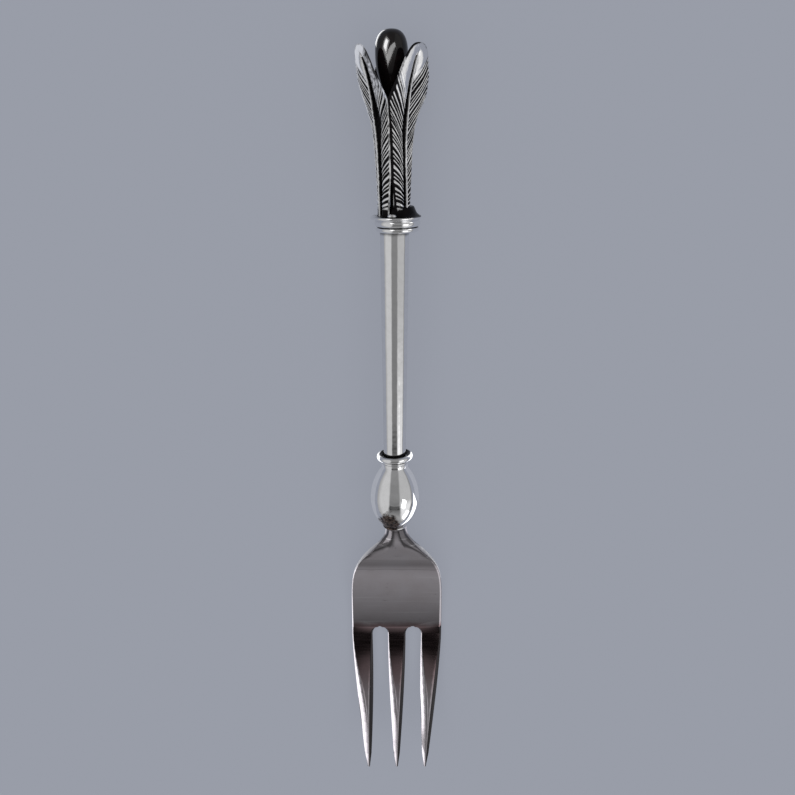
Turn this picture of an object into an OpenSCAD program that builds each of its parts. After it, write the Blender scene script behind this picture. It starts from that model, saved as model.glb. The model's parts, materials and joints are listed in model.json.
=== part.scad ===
// Silver table fork with a feather finial, lying on its back.
// X runs across the tines, Y from the tines to the finial, Z up from the table.
// The origin is under the middle of the fork, on the table.

/* [Fork head] */
// Length of the head from the bulb to the tips of the tines
head_l = 72.4; // [64:0.1:84]
// Width of the blade
blade_w = 24.4; // [21:0.1:28]
// Thickness of the blade
blade_t = 1.8; // [1.4:0.1:2.6]
// Length over which the shoulders swell from the neck to the blade
shoulder_l = 9.5; // [7:0.1:12]
// Distance from the bulb to the ends of the slots
slot_start = 34; // [30:0.5:40]
// Width of each slot at its round end
slot_w = 4.3; // [3.4:0.1:5]
// Width of the middle tine at its root
mid_tine_w = 4.8; // [3.6:0.1:5.6]
// Width of a tine at its tip
tip_w = 1.1; // [0.6:0.1:1.4]
// Thickness of a tine at its tip
tip_t = 0.9; // [0.6:0.1:1.4]
// Distance between the tips of the outer tines
tip_span = 16.6; // [14:0.1:19]
// Radius of the upward sweep of the tines
tine_sweep_r = 78; // [66:1:110]
// Length of the bend that turns the neck down to the blade
neck_bend_l = 8; // [6:0.5:12]
// Length of the straight neck below the bulb
neck_l = 0.9; // [0:0.1:2]
// Width of the neck where it meets the bulb
neck_w = 5.3; // [4.4:0.1:6]
// Thickness of the neck where it meets the bulb
neck_t = 4.6; // [3.8:0.1:5.2]
// Diameter of the tang that runs through the bulb
tang_d = 3; // [2:0.1:3.6]
// Distance that the tang reaches past the bulb into the tube
tang_reach = 9; // [4:0.5:20]
// Sideways distance from the handle's axis to the middle of the head
head_shift = 0.5; // [0:0.1:1]

/* [Bulb and its rings] */
// Largest diameter of the bulb
bulb_d = 12.1; // [10.5:0.1:14]
// Distance from the bulb's widest place to its lower end
bulb_lower_l = 7.7; // [6.8:0.1:9]
// Distance from the bulb's widest place to the underside of its lip
bulb_upper_l = 8.6; // [7.6:0.1:9.4]
// Diameter of the lip on top of the bulb
lip_d = 6.7; // [6.2:0.1:7.4]
// Height of the lip
lip_h = 1; // [0.6:0.1:1.4]
// Wire thickness of the thin ring that lies on the lip
bulb_ring_wire = 0.8; // [0.6:0.1:1]
// Wire thickness of the thick ring around the neck of the tube
neck_ring_wire = 1.45; // [1.1:0.05:1.8]
// Room between the tube and the thick ring
neck_ring_room = 0.2; // [0.1:0.05:0.4]
// Angle at which the thick ring sits askew
neck_ring_tilt = 2.5; // [0:0.5:4]

/* [Handle tube] */
// Length of the tube
tube_l = 56.6; // [45:0.1:75]
// Outer diameter of the tube under the collar
tube_top_d = 6.74; // [6.1:0.01:7.6]
// Outer diameter of the tube at the bulb
tube_low_d = 5.46; // [5:0.01:6]
// Wall of the tube
tube_wall = 0.6; // [0.4:0.05:0.9]

/* [Collar] */
// Diameter of the ring plate that closes the tube
ring_d = 9.9; // [8.8:0.1:10.4]
// Thickness of the ring plate
ring_h = 1.15; // [0.9:0.05:1.5]
// Diameter of the domed band
band_d = 10.5; // [9.6:0.1:11]
// Height of the domed band
band_h = 1.7; // [1.3:0.1:2.2]
// Diameter of the plate that the feathers stand on
plate_d = 11.7; // [10.4:0.1:12.4]
// Thickness of the plate
plate_h = 0.7; // [0.5:0.1:1]
// Sideways distance from the handle's axis to the middle of the ring plate and band
collar_shift = 0.7; // [0:0.1:0.8]
// Sideways distance from the handle's axis to the middle of the plate
plate_shift = 0.35; // [0:0.05:0.6]
// Angle at which the collar and finial lean over
finial_lean = 0.9; // [0:0.1:2]

/* [Feathers] */
// Length of a feather
feather_l = 36.1; // [32:0.1:42]
// Half width of a feather at its foot
foot_half_w = 2.7; // [2.3:0.1:2.8]
// Half width of a feather at its widest place
vane_half_w = 6.7; // [5.6:0.1:7.2]
// Distance of the feather's spine from the finial's axis at the foot
spine_r = 3.65; // [3.55:0.05:4.3]
// How far the spine flares outwards between foot and tip
spine_flare = 4.1; // [2.6:0.1:4.6]
// Thickness of a feather along its spine
feather_t = 1; // [0.8:0.05:1.2]
// Number of barbs on each side of a feather
barbs = 34; // [30:1:44]
// Height of the barbs
barb_h = 0.26; // [0.1:0.01:0.28]
// Height of the rounded swell of each vane
vane_swell = 0.75; // [0.4:0.05:1]
// Depth of the valley beside the spine
valley_h = 0.4; // [0.2:0.05:0.5]

/* [Bud] */
// Diameter of the bud
bud_d = 7.15; // [5.6:0.05:7.6]
// Height of the bud above its widest place
bud_cap_h = 5.2; // [4:0.1:5.6]
// Height of the bud below its widest place
bud_taper_h = 9.4; // [8:0.1:11]
// Height of the bud's lower end above the plate
bud_lift = 24.7; // [22:0.1:28]
// Diameter of the stem that carries the bud
stem_d = 2; // [1.6:0.1:2.4]
// Diameter of the peg that enters the bud
peg_d = 1.2; // [0.8:0.1:1.3]
// Length of the peg
peg_l = 4; // [2:0.5:6]
// Distance that the stem reaches into the tube
stem_reach = 6; // [3:0.5:12]

/* [Fits] */
// Radial room of a pin in its bore
pin_fit = 0.05; // [0.02:0.01:0.15]
// Room between curved faces that lie against each other
lay_fit = 0.04; // [0.02:0.01:0.1]
// Least room between the edges of neighbouring feathers
feather_gap = 0.1; // [0.05:0.05:0.4]

/* [Hidden] */
round_fn = 96;
cut_over = 1;

// Directions in which the three feathers face, from straight up towards +X
az_left = -66;
az_right = 52;
az_back = 173;
sector = (az_right - az_left) / 2;

function mix(a, b, k) = a + (b - a) * k;
function clamp01(k) = min(1, max(0, k));
function ease(k) = let (c = clamp01(k)) c * c * (3 - 2 * c);

// Heights of the finial, measured upwards from the end of the tube
ring_y = sin(finial_lean) * tube_top_d / 2 + lay_fit;
band_y = ring_y + ring_h;
plate_y = band_y + band_h;
foot_y = plate_y + plate_h;
bud_y = foot_y + bud_lift;
bud_top = bud_y + bud_taper_h + bud_cap_h;

// Places along the fork
bulb_l = bulb_lower_l + bulb_upper_l + lip_h;
overall_l = head_l + bulb_l + tube_l + bud_top * cos(finial_lean);
tip_y = -overall_l / 2;
bulb_y = tip_y + head_l;
wide_y = bulb_y + bulb_lower_l;
lip_y = wide_y + bulb_upper_l;
tube_y = lip_y + lip_h;
tube_end_y = tube_y + tube_l;
handle_x = -head_shift;

// Lathe frame of the handle: Z runs along the fork to the finial, -Y points up from the table
module on_axis(y) {
    translate([handle_x, y, axis_h]) rotate([-90, 0, 0]) children();
}

// The same frame for all that leans above the tube
module on_finial(y) {
    translate([handle_x, tube_end_y, axis_h]) rotate([0, 0, finial_lean])
        rotate([-90, 0, 0]) translate([0, 0, y]) children();
}

// Shape of a feather: t runs up from the foot, u across and w outwards from the axis
swell_l = feather_l * 0.68;
widen_pow = 1.5;
foot_corner = 0.65;
tip_taper = 0.42;
tip_round_l = feather_l * 0.15;
tip_round_pow = 2.7;
spine_short = 2.6;
spine_l = feather_l - spine_short;
spine_half_w = 0.3;
spine_rise = 0.18;
flare_pow = 2.1;
edge_t = 0.55;

// Slope of the two vanes away from the spine: steep by the foot and nearly flat at the tip
foot_tilt = 25;
tip_tilt = 3;
tilt_from = feather_l * 0.465;
tilt_l = feather_l * 0.41;

// The barbs lean towards the tip, and fade out near the foot and the tip
barb_lead = 1.6;
saw_w = 0.14;
foot_fade = 1 / 12;
tip_fade = 1 / 8;
spine_fade = 1 / 5;
rows = 2 * barbs;
vane_steps = [0.3, 0.55, 0.8, 1];
swell_skew = 1.15;

function spine_w(t) = spine_r + spine_flare * pow(t / feather_l, flare_pow);
function tilt(t) = mix(foot_tilt, tip_tilt, ease((t - tilt_from) / tilt_l));
function spine_t(q) = spine_l * q;
function edge_t_at(q) = feather_l * (1 - pow(1 - q, barb_lead));
function groove(i) = i % 2 == 1 ? 0 : 1;
function fade(q) = ease(q / foot_fade) * ease((1 - q) / tip_fade);

// Rounded corners spread the foot on the plate, so that a gap with a round end is left between
// neighbouring feathers until they meet further up
function corner_w(t) =
    foot_corner * (1 - sqrt(1 - pow(1 - clamp01(t / foot_corner), 2)));

// Half width of the feather, and the one at which its neighbour would stand feather_gap away
function half_w(t) =
    min(mix(foot_half_w, vane_half_w, pow(clamp01(t / swell_l), widen_pow)) + corner_w(t),
        room_w(t))
    * (1 - tip_taper * ease((t - swell_l) / (feather_l - swell_l)))
    * pow(max(0, 1 - pow(max(0, t - feather_l + tip_round_l) / tip_round_l, tip_round_pow)),
          1 / tip_round_pow);
function room_w(t) =
    (spine_w(t) * tan(sector) - feather_gap / 2 / cos(sector)) / (1 + tan(tilt(t)) * tan(sector));
function face_w(t, u, k) =
    spine_w(t) - tan(tilt(t)) * u
    + vane_swell * sin(180 * pow(k, swell_skew)) * min(1, half_w(t) / foot_half_w)
    - valley_h * (1 - k);

// One point of the carved face, on row i and at the share k of the way to the edge
function vane_point(i, k, side) =
    let (q = i / rows, te = edge_t_at(q), open = i == rows ? 0 : 1,
         ue = open * (half_w(te) - saw_w * groove(i) * fade(q)),
         t = mix(spine_t(q), te, k), u = max(ue * k, open * spine_half_w * min(1, 2 * k)),
         depth = k == 1 ? saw_w / tan(sector) : barb_h,
         carve = depth * ease(k / spine_fade) * fade(q))
    [side * u, -(face_w(t, u, k) - carve * groove(i)), t];
function valley_point(i, side) =
    let (t = spine_t(i / rows))
    [side * (i == rows ? 0 : spine_half_w), -(spine_w(t) - valley_h), t];
function spine_point(i) =
    let (t = spine_t(i / rows)) [0, -(spine_w(t) + spine_rise), t];

// The plain inner face, which keeps to the sector between the neighbouring feathers
function back_point(i, k, side) =
    let (q = i / rows, te = edge_t_at(q), open = i == rows ? 0 : 1,
         t = mix(spine_t(q), te, k), u = open * (half_w(te) - saw_w) * k, w = face_w(t, u, k))
    k == 1 ? [side * max(0, u - open * edge_t * sin(sector)),
              -(w - edge_t * mix(1, cos(sector), open)), t]
    : [side * u, -((k == 0 ? spine_w(t) : w) - feather_t), t];

front_cols = 2 * (len(vane_steps) + 1) + 1;
back_steps = [-1, -0.5, 0, 0.5, 1];
back_cols = len(back_steps);

function front_row(i) = concat(
    [for (j = [len(vane_steps) - 1:-1:0]) vane_point(i, vane_steps[j], -1)],
    [valley_point(i, -1), spine_point(i), valley_point(i, 1)],
    [for (k = vane_steps) vane_point(i, k, 1)]);
function back_row(i) = [for (k = back_steps) back_point(i, abs(k), sign(k))];

feather_points = concat([for (i = [0:rows]) each front_row(i)],
                        [for (i = [0:rows]) each back_row(i)]);
back_start = (rows + 1) * front_cols;

// On the last row both sides meet, so they share their points
function f_id(i, j) =
    i * front_cols + (i == rows ? max(j, front_cols - 1 - j) : j);
function b_id(i, j) =
    back_start + i * back_cols + (i == rows ? max(j, back_cols - 1 - j) : j);
function two(a, b, c, d) = concat(
    a == b || b == c || a == c ? [] : [[a, b, c]],
    a == c || c == d || a == d ? [] : [[a, c, d]]);
feather_faces = concat(
    [for (i = [0:rows - 1]) for (j = [0:front_cols - 2])
        each two(f_id(i, j + 1), f_id(i, j), f_id(i + 1, j), f_id(i + 1, j + 1))],
    [for (i = [0:rows - 1]) for (j = [0:back_cols - 2])
        each two(b_id(i, j), b_id(i, j + 1), b_id(i + 1, j + 1), b_id(i + 1, j))],
    [for (i = [0:rows - 1])
        each two(f_id(i, 0), b_id(i, 0), b_id(i + 1, 0), f_id(i + 1, 0))],
    [for (i = [0:rows - 1])
        each two(b_id(i, back_cols - 1), f_id(i, front_cols - 1),
                 f_id(i + 1, front_cols - 1), b_id(i + 1, back_cols - 1))],
    [concat([for (j = [0:front_cols - 1]) f_id(0, j)],
            [for (j = [back_cols - 1:-1:0]) b_id(0, j)])]);

// The back feather's lowest point sets how high the handle's axis lies above the table
axis_h = max([for (p = feather_points) p[0] * sin(az_back) + p[1] * cos(az_back)]);

module feather(az) {
    color([0.62, 0.62, 0.63]) on_finial(foot_y) rotate([0, 0, az])
        polyhedron(points = feather_points, faces = feather_faces, convexity = 6);
}

module feather_left() { feather(az_left); }
module feather_right() { feather(az_right); }
module feather_back() { feather(az_back); }

// Profile of the bud: a blunt cap over a long taper that ends at the stem
bud_r = bud_d / 2;
bud_end_r = stem_d / 2;
bud_cap_pow = 2.6;
bud_taper_pow = 0.9;
bud_steps = 14;
bud_profile = concat(
    [[0, 0]],
    [for (i = [0:bud_steps]) let (k = i / bud_steps)
        [mix(bud_end_r, bud_r, sin(90 * pow(k, bud_taper_pow))), bud_taper_h * k]],
    [for (i = [1:bud_steps]) let (a = 90 * i / bud_steps)
        [bud_r * pow(cos(a), 2 / bud_cap_pow),
         bud_taper_h + bud_cap_h * pow(sin(a), 2 / bud_cap_pow)]]);

module bud() {
    color([0.09, 0.08, 0.09]) on_finial(bud_y) difference() {
        rotate_extrude($fn = round_fn) polygon(bud_profile);
        translate([0, 0, -cut_over])
            cylinder(d = peg_d + 2 * pin_fit, h = peg_l + pin_fit + cut_over, $fn = round_fn);
    }
}

module finial_stem() {
    color([0.45, 0.44, 0.44]) on_finial(0) {
        translate([0, 0, -stem_reach])
            cylinder(d = stem_d, h = stem_reach + bud_y, $fn = round_fn);
        cylinder(d = peg_d, h = bud_y + peg_l, $fn = round_fn);
    }
}

// Disc with a rounded rim, bored for the stem
module collar_disc(d, h, bulge, shift) {
    difference() {
        translate([shift, 0, 0]) rotate_extrude($fn = round_fn) {
            square([d / 2 - bulge, h]);
            intersection() {
                translate([d / 2 - bulge, 0]) square([bulge, h]);
                translate([d / 2 - rim_r(h, bulge), h / 2])
                    circle(rim_r(h, bulge), $fn = round_fn);
            }
        }
        translate([0, 0, -cut_over])
            cylinder(d = stem_d + 2 * pin_fit, h = h + 2 * cut_over, $fn = round_fn);
    }
}
function rim_r(h, bulge) = (h * h / 4 + bulge * bulge) / (2 * bulge);
ring_bulge = 0.45;
band_bulge = 0.55;
plate_bulge = 0.25;

module collar_ring() {
    color([0.8, 0.8, 0.81]) on_finial(ring_y)
        collar_disc(ring_d, ring_h, ring_bulge, collar_shift);
}

module collar_band() {
    color([0.85, 0.85, 0.86]) on_finial(band_y)
        collar_disc(band_d, band_h, band_bulge, collar_shift);
}

module finial_plate() {
    color([0.3, 0.3, 0.31]) on_finial(plate_y)
        collar_disc(plate_d, plate_h, plate_bulge, plate_shift);
}

module shaft_tube() {
    color([0.82, 0.82, 0.83]) on_axis(tube_y) difference() {
        cylinder(d1 = tube_low_d, d2 = tube_top_d, h = tube_l, $fn = round_fn);
        cylinder(d1 = tube_low_d - 2 * tube_wall, d2 = tube_top_d - 2 * tube_wall,
                 h = tube_l, $fn = round_fn);
    }
}

module wire_ring(inner_r, wire) {
    rotate_extrude($fn = round_fn) translate([inner_r + wire / 2, 0])
        circle(d = wire, $fn = round_fn);
}
function tube_r(y) = mix(tube_low_d, tube_top_d, (y - tube_y) / tube_l) / 2;

bulb_ring_y = tube_y + bulb_ring_wire / 2;
bulb_ring_in = tube_r(bulb_ring_y + bulb_ring_wire / 2) + lay_fit;
neck_ring_in = tube_r(bulb_ring_y + 3 * neck_ring_wire) + neck_ring_room;
neck_ring_mid = neck_ring_in + neck_ring_wire / 2;
ring_offset = neck_ring_mid - bulb_ring_in - bulb_ring_wire / 2;
ring_reach = (bulb_ring_wire + neck_ring_wire) / 2 + lay_fit;
neck_ring_y = bulb_ring_y + sqrt(pow(ring_reach, 2) - pow(min(ring_offset, ring_reach / 2), 2))
              + neck_ring_mid * sin(neck_ring_tilt);

module bulb_ring() {
    color([0.8, 0.8, 0.8]) on_axis(bulb_ring_y) wire_ring(bulb_ring_in, bulb_ring_wire);
}

module neck_ring() {
    color([0.4, 0.4, 0.4]) on_axis(neck_ring_y) rotate([0, -neck_ring_tilt, 0])
        wire_ring(neck_ring_in, neck_ring_wire);
}

// Radius of an arc that leaves the bulb's widest place and ends at radius r, a length l away
function belly_r(r, l) = (pow(l, 2) + pow(bulb_d / 2 - r, 2)) / (bulb_d - 2 * r);
lip_over = 0.25;
bulb_end_r = neck_w / 2;
bulb_neck_r = lip_d / 2 - lip_over;

module belly_half(r, l, from) {
    big = belly_r(r, l);
    intersection() {
        translate([0, from]) square([bulb_d, l]);
        translate([bulb_d / 2 - big, 0]) circle(big, $fn = round_fn);
    }
}

module bulb() {
    color([0.8, 0.79, 0.8]) on_axis(wide_y) difference() {
        union() {
            rotate_extrude($fn = round_fn) {
                belly_half(bulb_end_r, bulb_lower_l, -bulb_lower_l);
                belly_half(bulb_neck_r, bulb_upper_l, 0);
            }
            translate([0, 0, bulb_upper_l]) cylinder(d = lip_d, h = lip_h, $fn = round_fn);
        }
        translate([0, 0, -bulb_lower_l - cut_over])
            cylinder(d = tang_d + 2 * pin_fit, h = bulb_l + 2 * cut_over, $fn = round_fn);
    }
}

// Sections of the head: d runs from the bulb to the tips, z is measured from the handle's axis
drop = axis_h - blade_t / 2;
dip_angle = 2 * atan(drop / slot_start);
bend_r = neck_bend_l / sin(dip_angle);
belly_sweep_r = (slot_start - neck_bend_l) / sin(dip_angle);
slope_probe = 0.05;
function head_z(d) =
    d < neck_bend_l ? sqrt(pow(bend_r, 2) - d * d) - bend_r
    : let (r = d < slot_start ? belly_sweep_r : tine_sweep_r)
        r - drop - sqrt(r * r - pow(d - slot_start, 2));
function sweep_angle(d) =
    atan((head_z(d + slope_probe) - head_z(d - slope_probe)) / (2 * slope_probe));

shoulder_pow = 1.9;
function head_half_w(d) =
    mix(neck_w, blade_w, 1 - exp(-pow(max(0, d - neck_l) / shoulder_l, shoulder_pow))) / 2;

slot_r = slot_w / 2;
slot_x = mid_tine_w / 2 + slot_r;
out_tine_w = blade_w / 2 - slot_x - slot_r;
tine_start = slot_start + slot_r;
tine_narrow_pow = 1.9;
tine_close_pow = 1.3;
tine_thin_pow = 1.2;
thin_l = 15;
function along(d) = clamp01((d - tine_start) / (head_l - tine_start));
function tine_w(root, d) = mix(root, tip_w, pow(along(d), tine_narrow_pow));
function out_tine_x(d) = mix(slot_x + slot_r + out_tine_w / 2, tip_span / 2 - tip_w / 2,
                             pow(along(d), tine_close_pow));
function head_t(d) =
    d < slot_start ? mix(neck_t, blade_t, ease(d / thin_l))
                   : mix(blade_t, tip_t, pow(along(d), tine_thin_pow));

// Sides of a lane: the middle lane is 0, and the outer ones are -1 and 1
function slot_bite(d) =
    d < slot_start ? 0 : sqrt(max(0, pow(slot_r, 2) - pow(min(slot_r, tine_start - d), 2)));
function lane_sides(lane, d) =
    let (root = d < tine_start, w = head_half_w(d), s = slot_x * w / (blade_w / 2),
         mid = root ? s - slot_bite(d) : tine_w(mid_tine_w, d) / 2,
         near = root ? s + slot_bite(d) : out_tine_x(d) - tine_w(out_tine_w, d) / 2,
         far = root ? w : out_tine_x(d) + tine_w(out_tine_w, d) / 2)
    lane == 0 ? [-mid, mid] : lane > 0 ? [near, far] : [-far, -near];

// Bevels as shares of a tine's width at its root and near its tip. The one on the left is
// wider, as filed by hand.
left_share = [0.06, 0.56];
right_share = [0.1, 0.4];
left_slope = 0.7;
right_slope = 0.95;
left_full = 0.8;
under_break = 0.3;
edge_break = 0.3;
edge_half_t = 0.12;
round_l = 3;
flatten_l = 6;

// One section of a lane: places across, with the height of the top and of the underside
function lane_row(lane, d) =
    let (e = lane_sides(lane, d), w = e[1] - e[0], open = d >= slot_start,
         bl = max(edge_break, w * mix(left_share[0], left_share[1], ease(along(d) / left_full))),
         br = max(edge_break, w * mix(right_share[0], right_share[1], along(d))),
         cut_l = lane < 0 || open ? 1 : 0, cut_r = lane > 0 || open ? 1 : 0,
         half = head_t(d) / 2 / cos(sweep_angle(d)), under = under_break * half,
         xs = [e[0], e[0] + bl, (e[0] + bl + e[1] - br) / 2, e[1] - br, e[1]],
         top = [half - bl * left_slope * cut_l, half, half, half, half - br * right_slope * cut_r],
         low = [half - under * cut_l, half, half, half, half - under * cut_r],
         flat = ease((d - round_l) / flatten_l))
    [for (k = [0:4]) let (
        round_z = max(edge_half_t, half * sqrt(max(0, 1 - pow(xs[k] / head_half_w(d), 2)))))
        [xs[k], mix(round_z, top[k], flat), -mix(round_z, low[k], flat)]];

blade_rows = 20;
root_rows = 6;
tine_rows = 14;
row_spread_pow = 1.2;
head_ds = concat(
    [for (i = [0:blade_rows])
        (slot_start - edge_break) * pow(i / blade_rows, row_spread_pow)],
    [for (i = [0:root_rows]) slot_start + slot_r * (1 - cos(90 * i / root_rows))],
    [for (i = [1:tine_rows]) mix(tine_start, head_l, i / tine_rows)]);
split_row = blade_rows + 1;
last_row = len(head_ds) - 1;

// The very end of each tine is drawn in to a blunt point
point_l = 0.45;
point_scale = 0.5;
function row_d(i) =
    i == last_row ? head_l : head_ds[i] - (i > split_row + root_rows ? point_l : 0);
function row_scale(i) = i == last_row ? point_scale : 1;

// The neck sits a little off the head's middle, towards the handle's axis
neck_follow = 0.4;
neck_follow_l = 5;
function centre_x(d) = mix(handle_x * neck_follow, 0, ease(d / neck_follow_l));

lane_cols = 5;
row_points = 3 * lane_cols;
function head_level(i, level) = [for (lane = [-1:1]) let (
        d = row_d(i), row = lane_row(lane, d), mid = (row[0][0] + row[4][0]) / 2, s = row_scale(i))
    for (k = [0:4]) [mid + (row[k][0] - mid) * s + centre_x(d), -d,
                     head_z(d) + row[k][level] * s]];
head_points = concat([for (i = [0:last_row]) each head_level(i, 1)],
                     [for (i = [0:last_row]) each head_level(i, 2)]);
low_start = (last_row + 1) * row_points;

// Lanes share their border points until the slots open
function h_id(i, lane, k, low) =
    let (shared = i <= split_row && k == 0 && lane > 0)
    (low ? low_start : 0) + i * row_points + (shared ? lane * lane_cols - 1 : lane * lane_cols + k);
head_faces = concat(
    [for (i = [0:last_row - 1]) for (lane = [0:2]) for (k = [0:3]) each
        two(h_id(i, lane, k, false), h_id(i, lane, k + 1, false),
            h_id(i + 1, lane, k + 1, false), h_id(i + 1, lane, k, false))],
    [for (i = [0:last_row - 1]) for (lane = [0:2]) for (k = [0:3]) each
        two(h_id(i, lane, k + 1, true), h_id(i, lane, k, true),
            h_id(i + 1, lane, k, true), h_id(i + 1, lane, k + 1, true))],
    [for (i = [0:last_row - 1]) for (lane = [0:2]) if (lane == 0 || i >= split_row) each
        two(h_id(i, lane, 0, true), h_id(i, lane, 0, false),
            h_id(i + 1, lane, 0, false), h_id(i + 1, lane, 0, true))],
    [for (i = [0:last_row - 1]) for (lane = [0:2]) if (lane == 2 || i >= split_row) each
        two(h_id(i, lane, 4, false), h_id(i, lane, 4, true),
            h_id(i + 1, lane, 4, true), h_id(i + 1, lane, 4, false))],
    [for (lane = [0:2]) for (k = [0:3]) each
        two(h_id(last_row, lane, k + 1, true), h_id(last_row, lane, k, true),
            h_id(last_row, lane, k, false), h_id(last_row, lane, k + 1, false))],
    [for (lane = [0:2]) for (k = [0:3]) each
        two(h_id(0, lane, k, true), h_id(0, lane, k + 1, true),
            h_id(0, lane, k + 1, false), h_id(0, lane, k, false))]);

module fork_head() {
    color([0.5, 0.48, 0.48]) {
        translate([0, bulb_y, axis_h])
            polyhedron(points = head_points, faces = head_faces, convexity = 8);
        on_axis(bulb_y - cut_over)
            cylinder(d = tang_d, h = bulb_l + tang_reach + cut_over, $fn = round_fn);
    }
}

fork_head();
bulb();
bulb_ring();
neck_ring();
shaft_tube();
collar_ring();
collar_band();
finial_plate();
finial_stem();
feather_left();
feather_right();
feather_back();
bud();
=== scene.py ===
"""Fish fork with a feather finial: its mirror-polished handle, carved feathers and steel head."""

import json
from math import asin, cos, exp, pi, radians, sin, sqrt, tan
from typing import NamedTuple

import bpy
import numpy as np
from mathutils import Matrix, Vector

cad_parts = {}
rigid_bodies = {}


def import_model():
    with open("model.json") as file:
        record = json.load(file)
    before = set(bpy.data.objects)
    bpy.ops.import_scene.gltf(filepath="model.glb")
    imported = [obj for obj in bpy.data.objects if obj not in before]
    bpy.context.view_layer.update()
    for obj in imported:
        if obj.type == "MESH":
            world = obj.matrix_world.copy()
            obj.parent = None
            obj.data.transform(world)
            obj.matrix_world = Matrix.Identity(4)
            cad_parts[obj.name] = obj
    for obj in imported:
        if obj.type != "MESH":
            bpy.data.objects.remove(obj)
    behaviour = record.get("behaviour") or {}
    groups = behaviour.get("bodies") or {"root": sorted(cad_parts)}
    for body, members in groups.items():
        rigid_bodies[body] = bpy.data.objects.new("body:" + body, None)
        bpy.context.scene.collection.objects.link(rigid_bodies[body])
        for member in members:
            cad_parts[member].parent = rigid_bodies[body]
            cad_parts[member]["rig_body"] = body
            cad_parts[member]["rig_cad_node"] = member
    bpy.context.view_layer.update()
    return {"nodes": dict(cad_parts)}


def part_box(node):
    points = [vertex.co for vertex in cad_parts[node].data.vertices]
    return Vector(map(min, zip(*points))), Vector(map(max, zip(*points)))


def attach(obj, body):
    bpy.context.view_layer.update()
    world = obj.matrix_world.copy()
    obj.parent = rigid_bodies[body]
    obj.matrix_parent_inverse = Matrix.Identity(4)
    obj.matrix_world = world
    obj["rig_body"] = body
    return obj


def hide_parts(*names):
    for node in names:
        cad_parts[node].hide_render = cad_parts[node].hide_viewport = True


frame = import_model()

bl_info = {
    "name": "Feather Fish Fork",
    "version": (1, 0, 0),
    "blender": (4, 5, 0),
    "location": "3D View > Sidebar > Fork",
    "description": "Models a fish fork with a tube handle and a finial of carved feathers",
    "category": "Add Mesh",
}

# Everything on the handle is set out from the tube, which the bulb carries and the collar closes.
tube_low, tube_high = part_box("shaft_tube")
AXIS_X = (tube_low.x + tube_high.x) / 2
AXIS_Z = (tube_low.z + tube_high.z) / 2
HANDLE_AXIS = (AXIS_X, 0, AXIS_Z)
TUBE_FOOT, TUBE_END = tube_low.y, tube_high.y

# Where the slots between the tines end, and where the neck has widened into the blade
HEAD_SLOTS, NECK_END = -0.0562, -0.04
BULB_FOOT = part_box("bulb")[0].y


def number(default, name, description, low=0.0, high=100.0, **kind):
    return bpy.props.FloatProperty(name=name, description=description, default=default,
                                   min=low, max=high, **kind)


def length(default, name, description, low=0.0, high=0.2):
    return number(default, name, description, low, high, precision=5, subtype="DISTANCE",
                  unit="LENGTH")


def angle(default, name, description):
    return number(radians(default), name, description, -2 * pi, 2 * pi, subtype="ANGLE",
                  unit="ROTATION")


def share(default, name, description):
    return number(default, name, description, 0.0, 1.0, subtype="FACTOR")


def colour(default, name, description):
    return bpy.props.FloatVectorProperty(name=name, description=description, default=default,
                                         min=0.0, max=1.0, size=3, subtype="COLOR")


class FishForkHandle(bpy.types.PropertyGroup):
    """Sizes of the bulb, the rings, the tube, the collar, the stem and the bud."""

    bulb_radius: length(0.00605, "Bulb radius", "Radius of the bulb at its widest place")
    bulb_lower: length(0.0077, "Bulb below", "From the widest place down to the head")
    bulb_upper: length(0.0086, "Bulb above", "From the widest place up to the lip")
    bulb_foot: length(0.00265, "Bulb foot radius", "Radius of the bulb where the neck enters")
    bulb_top: length(0.0031, "Bulb top radius", "Radius of the bulb under its lip")
    lip_radius: length(0.00335, "Lip radius", "Radius of the lip on the bulb")
    lip_height: length(0.001, "Lip height", "Height of the lip on the bulb")
    tube_foot: length(0.00273, "Tube radius below", "Outer radius of the tube at the bulb")
    tube_top: length(0.00337, "Tube radius above", "Outer radius of the tube at the collar")
    tube_wall: length(0.0006, "Tube wall", "Wall of the tube")
    thin_wire: length(0.0008, "Thin ring wire", "Wire of the ring that lies on the lip")
    thick_wire: length(0.00145, "Thick ring wire", "Wire of the ring around the tube's foot")
    thick_tilt: angle(2.5, "Thick ring tilt", "How far the thick ring sits askew")
    ring_height: length(0.00115, "Ring plate height", "Thickness of the plate on the tube")
    band_height: length(0.0017, "Band height", "Height of the domed band")
    plate_height: length(0.0007, "Plate height", "Thickness of the plate under the feathers")
    ring_radius: length(0.00495, "Ring plate radius", "Radius of the plate on the tube")
    band_radius: length(0.00525, "Band radius", "Radius of the domed band")
    plate_radius: length(0.00585, "Plate radius", "Radius of the plate under the feathers")
    collar_shift: length(0.0007, "Collar shift", "How far the collar sits to the side")
    plate_shift: length(0.00035, "Plate shift", "How far the plate sits to the side")
    collar_seat: length(0.0000929, "Collar seat", "Height of the collar over the tube's end")
    lean: angle(0.9, "Lean", "How far the finial leans over")
    stem_radius: length(0.001, "Stem radius", "Radius of the stem under the bud")
    stem_reach: length(0.006, "Stem reach", "How far the stem reaches into the tube")
    bud_lift: length(0.0247, "Bud lift", "From the plate to the lower end of the bud")
    bud_radius: length(0.003575, "Bud radius", "Radius of the bud")
    bud_taper: length(0.0094, "Bud taper", "Height of the bud below its widest place")
    bud_cap: length(0.0052, "Bud cap", "Height of the bud above its widest place")


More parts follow.
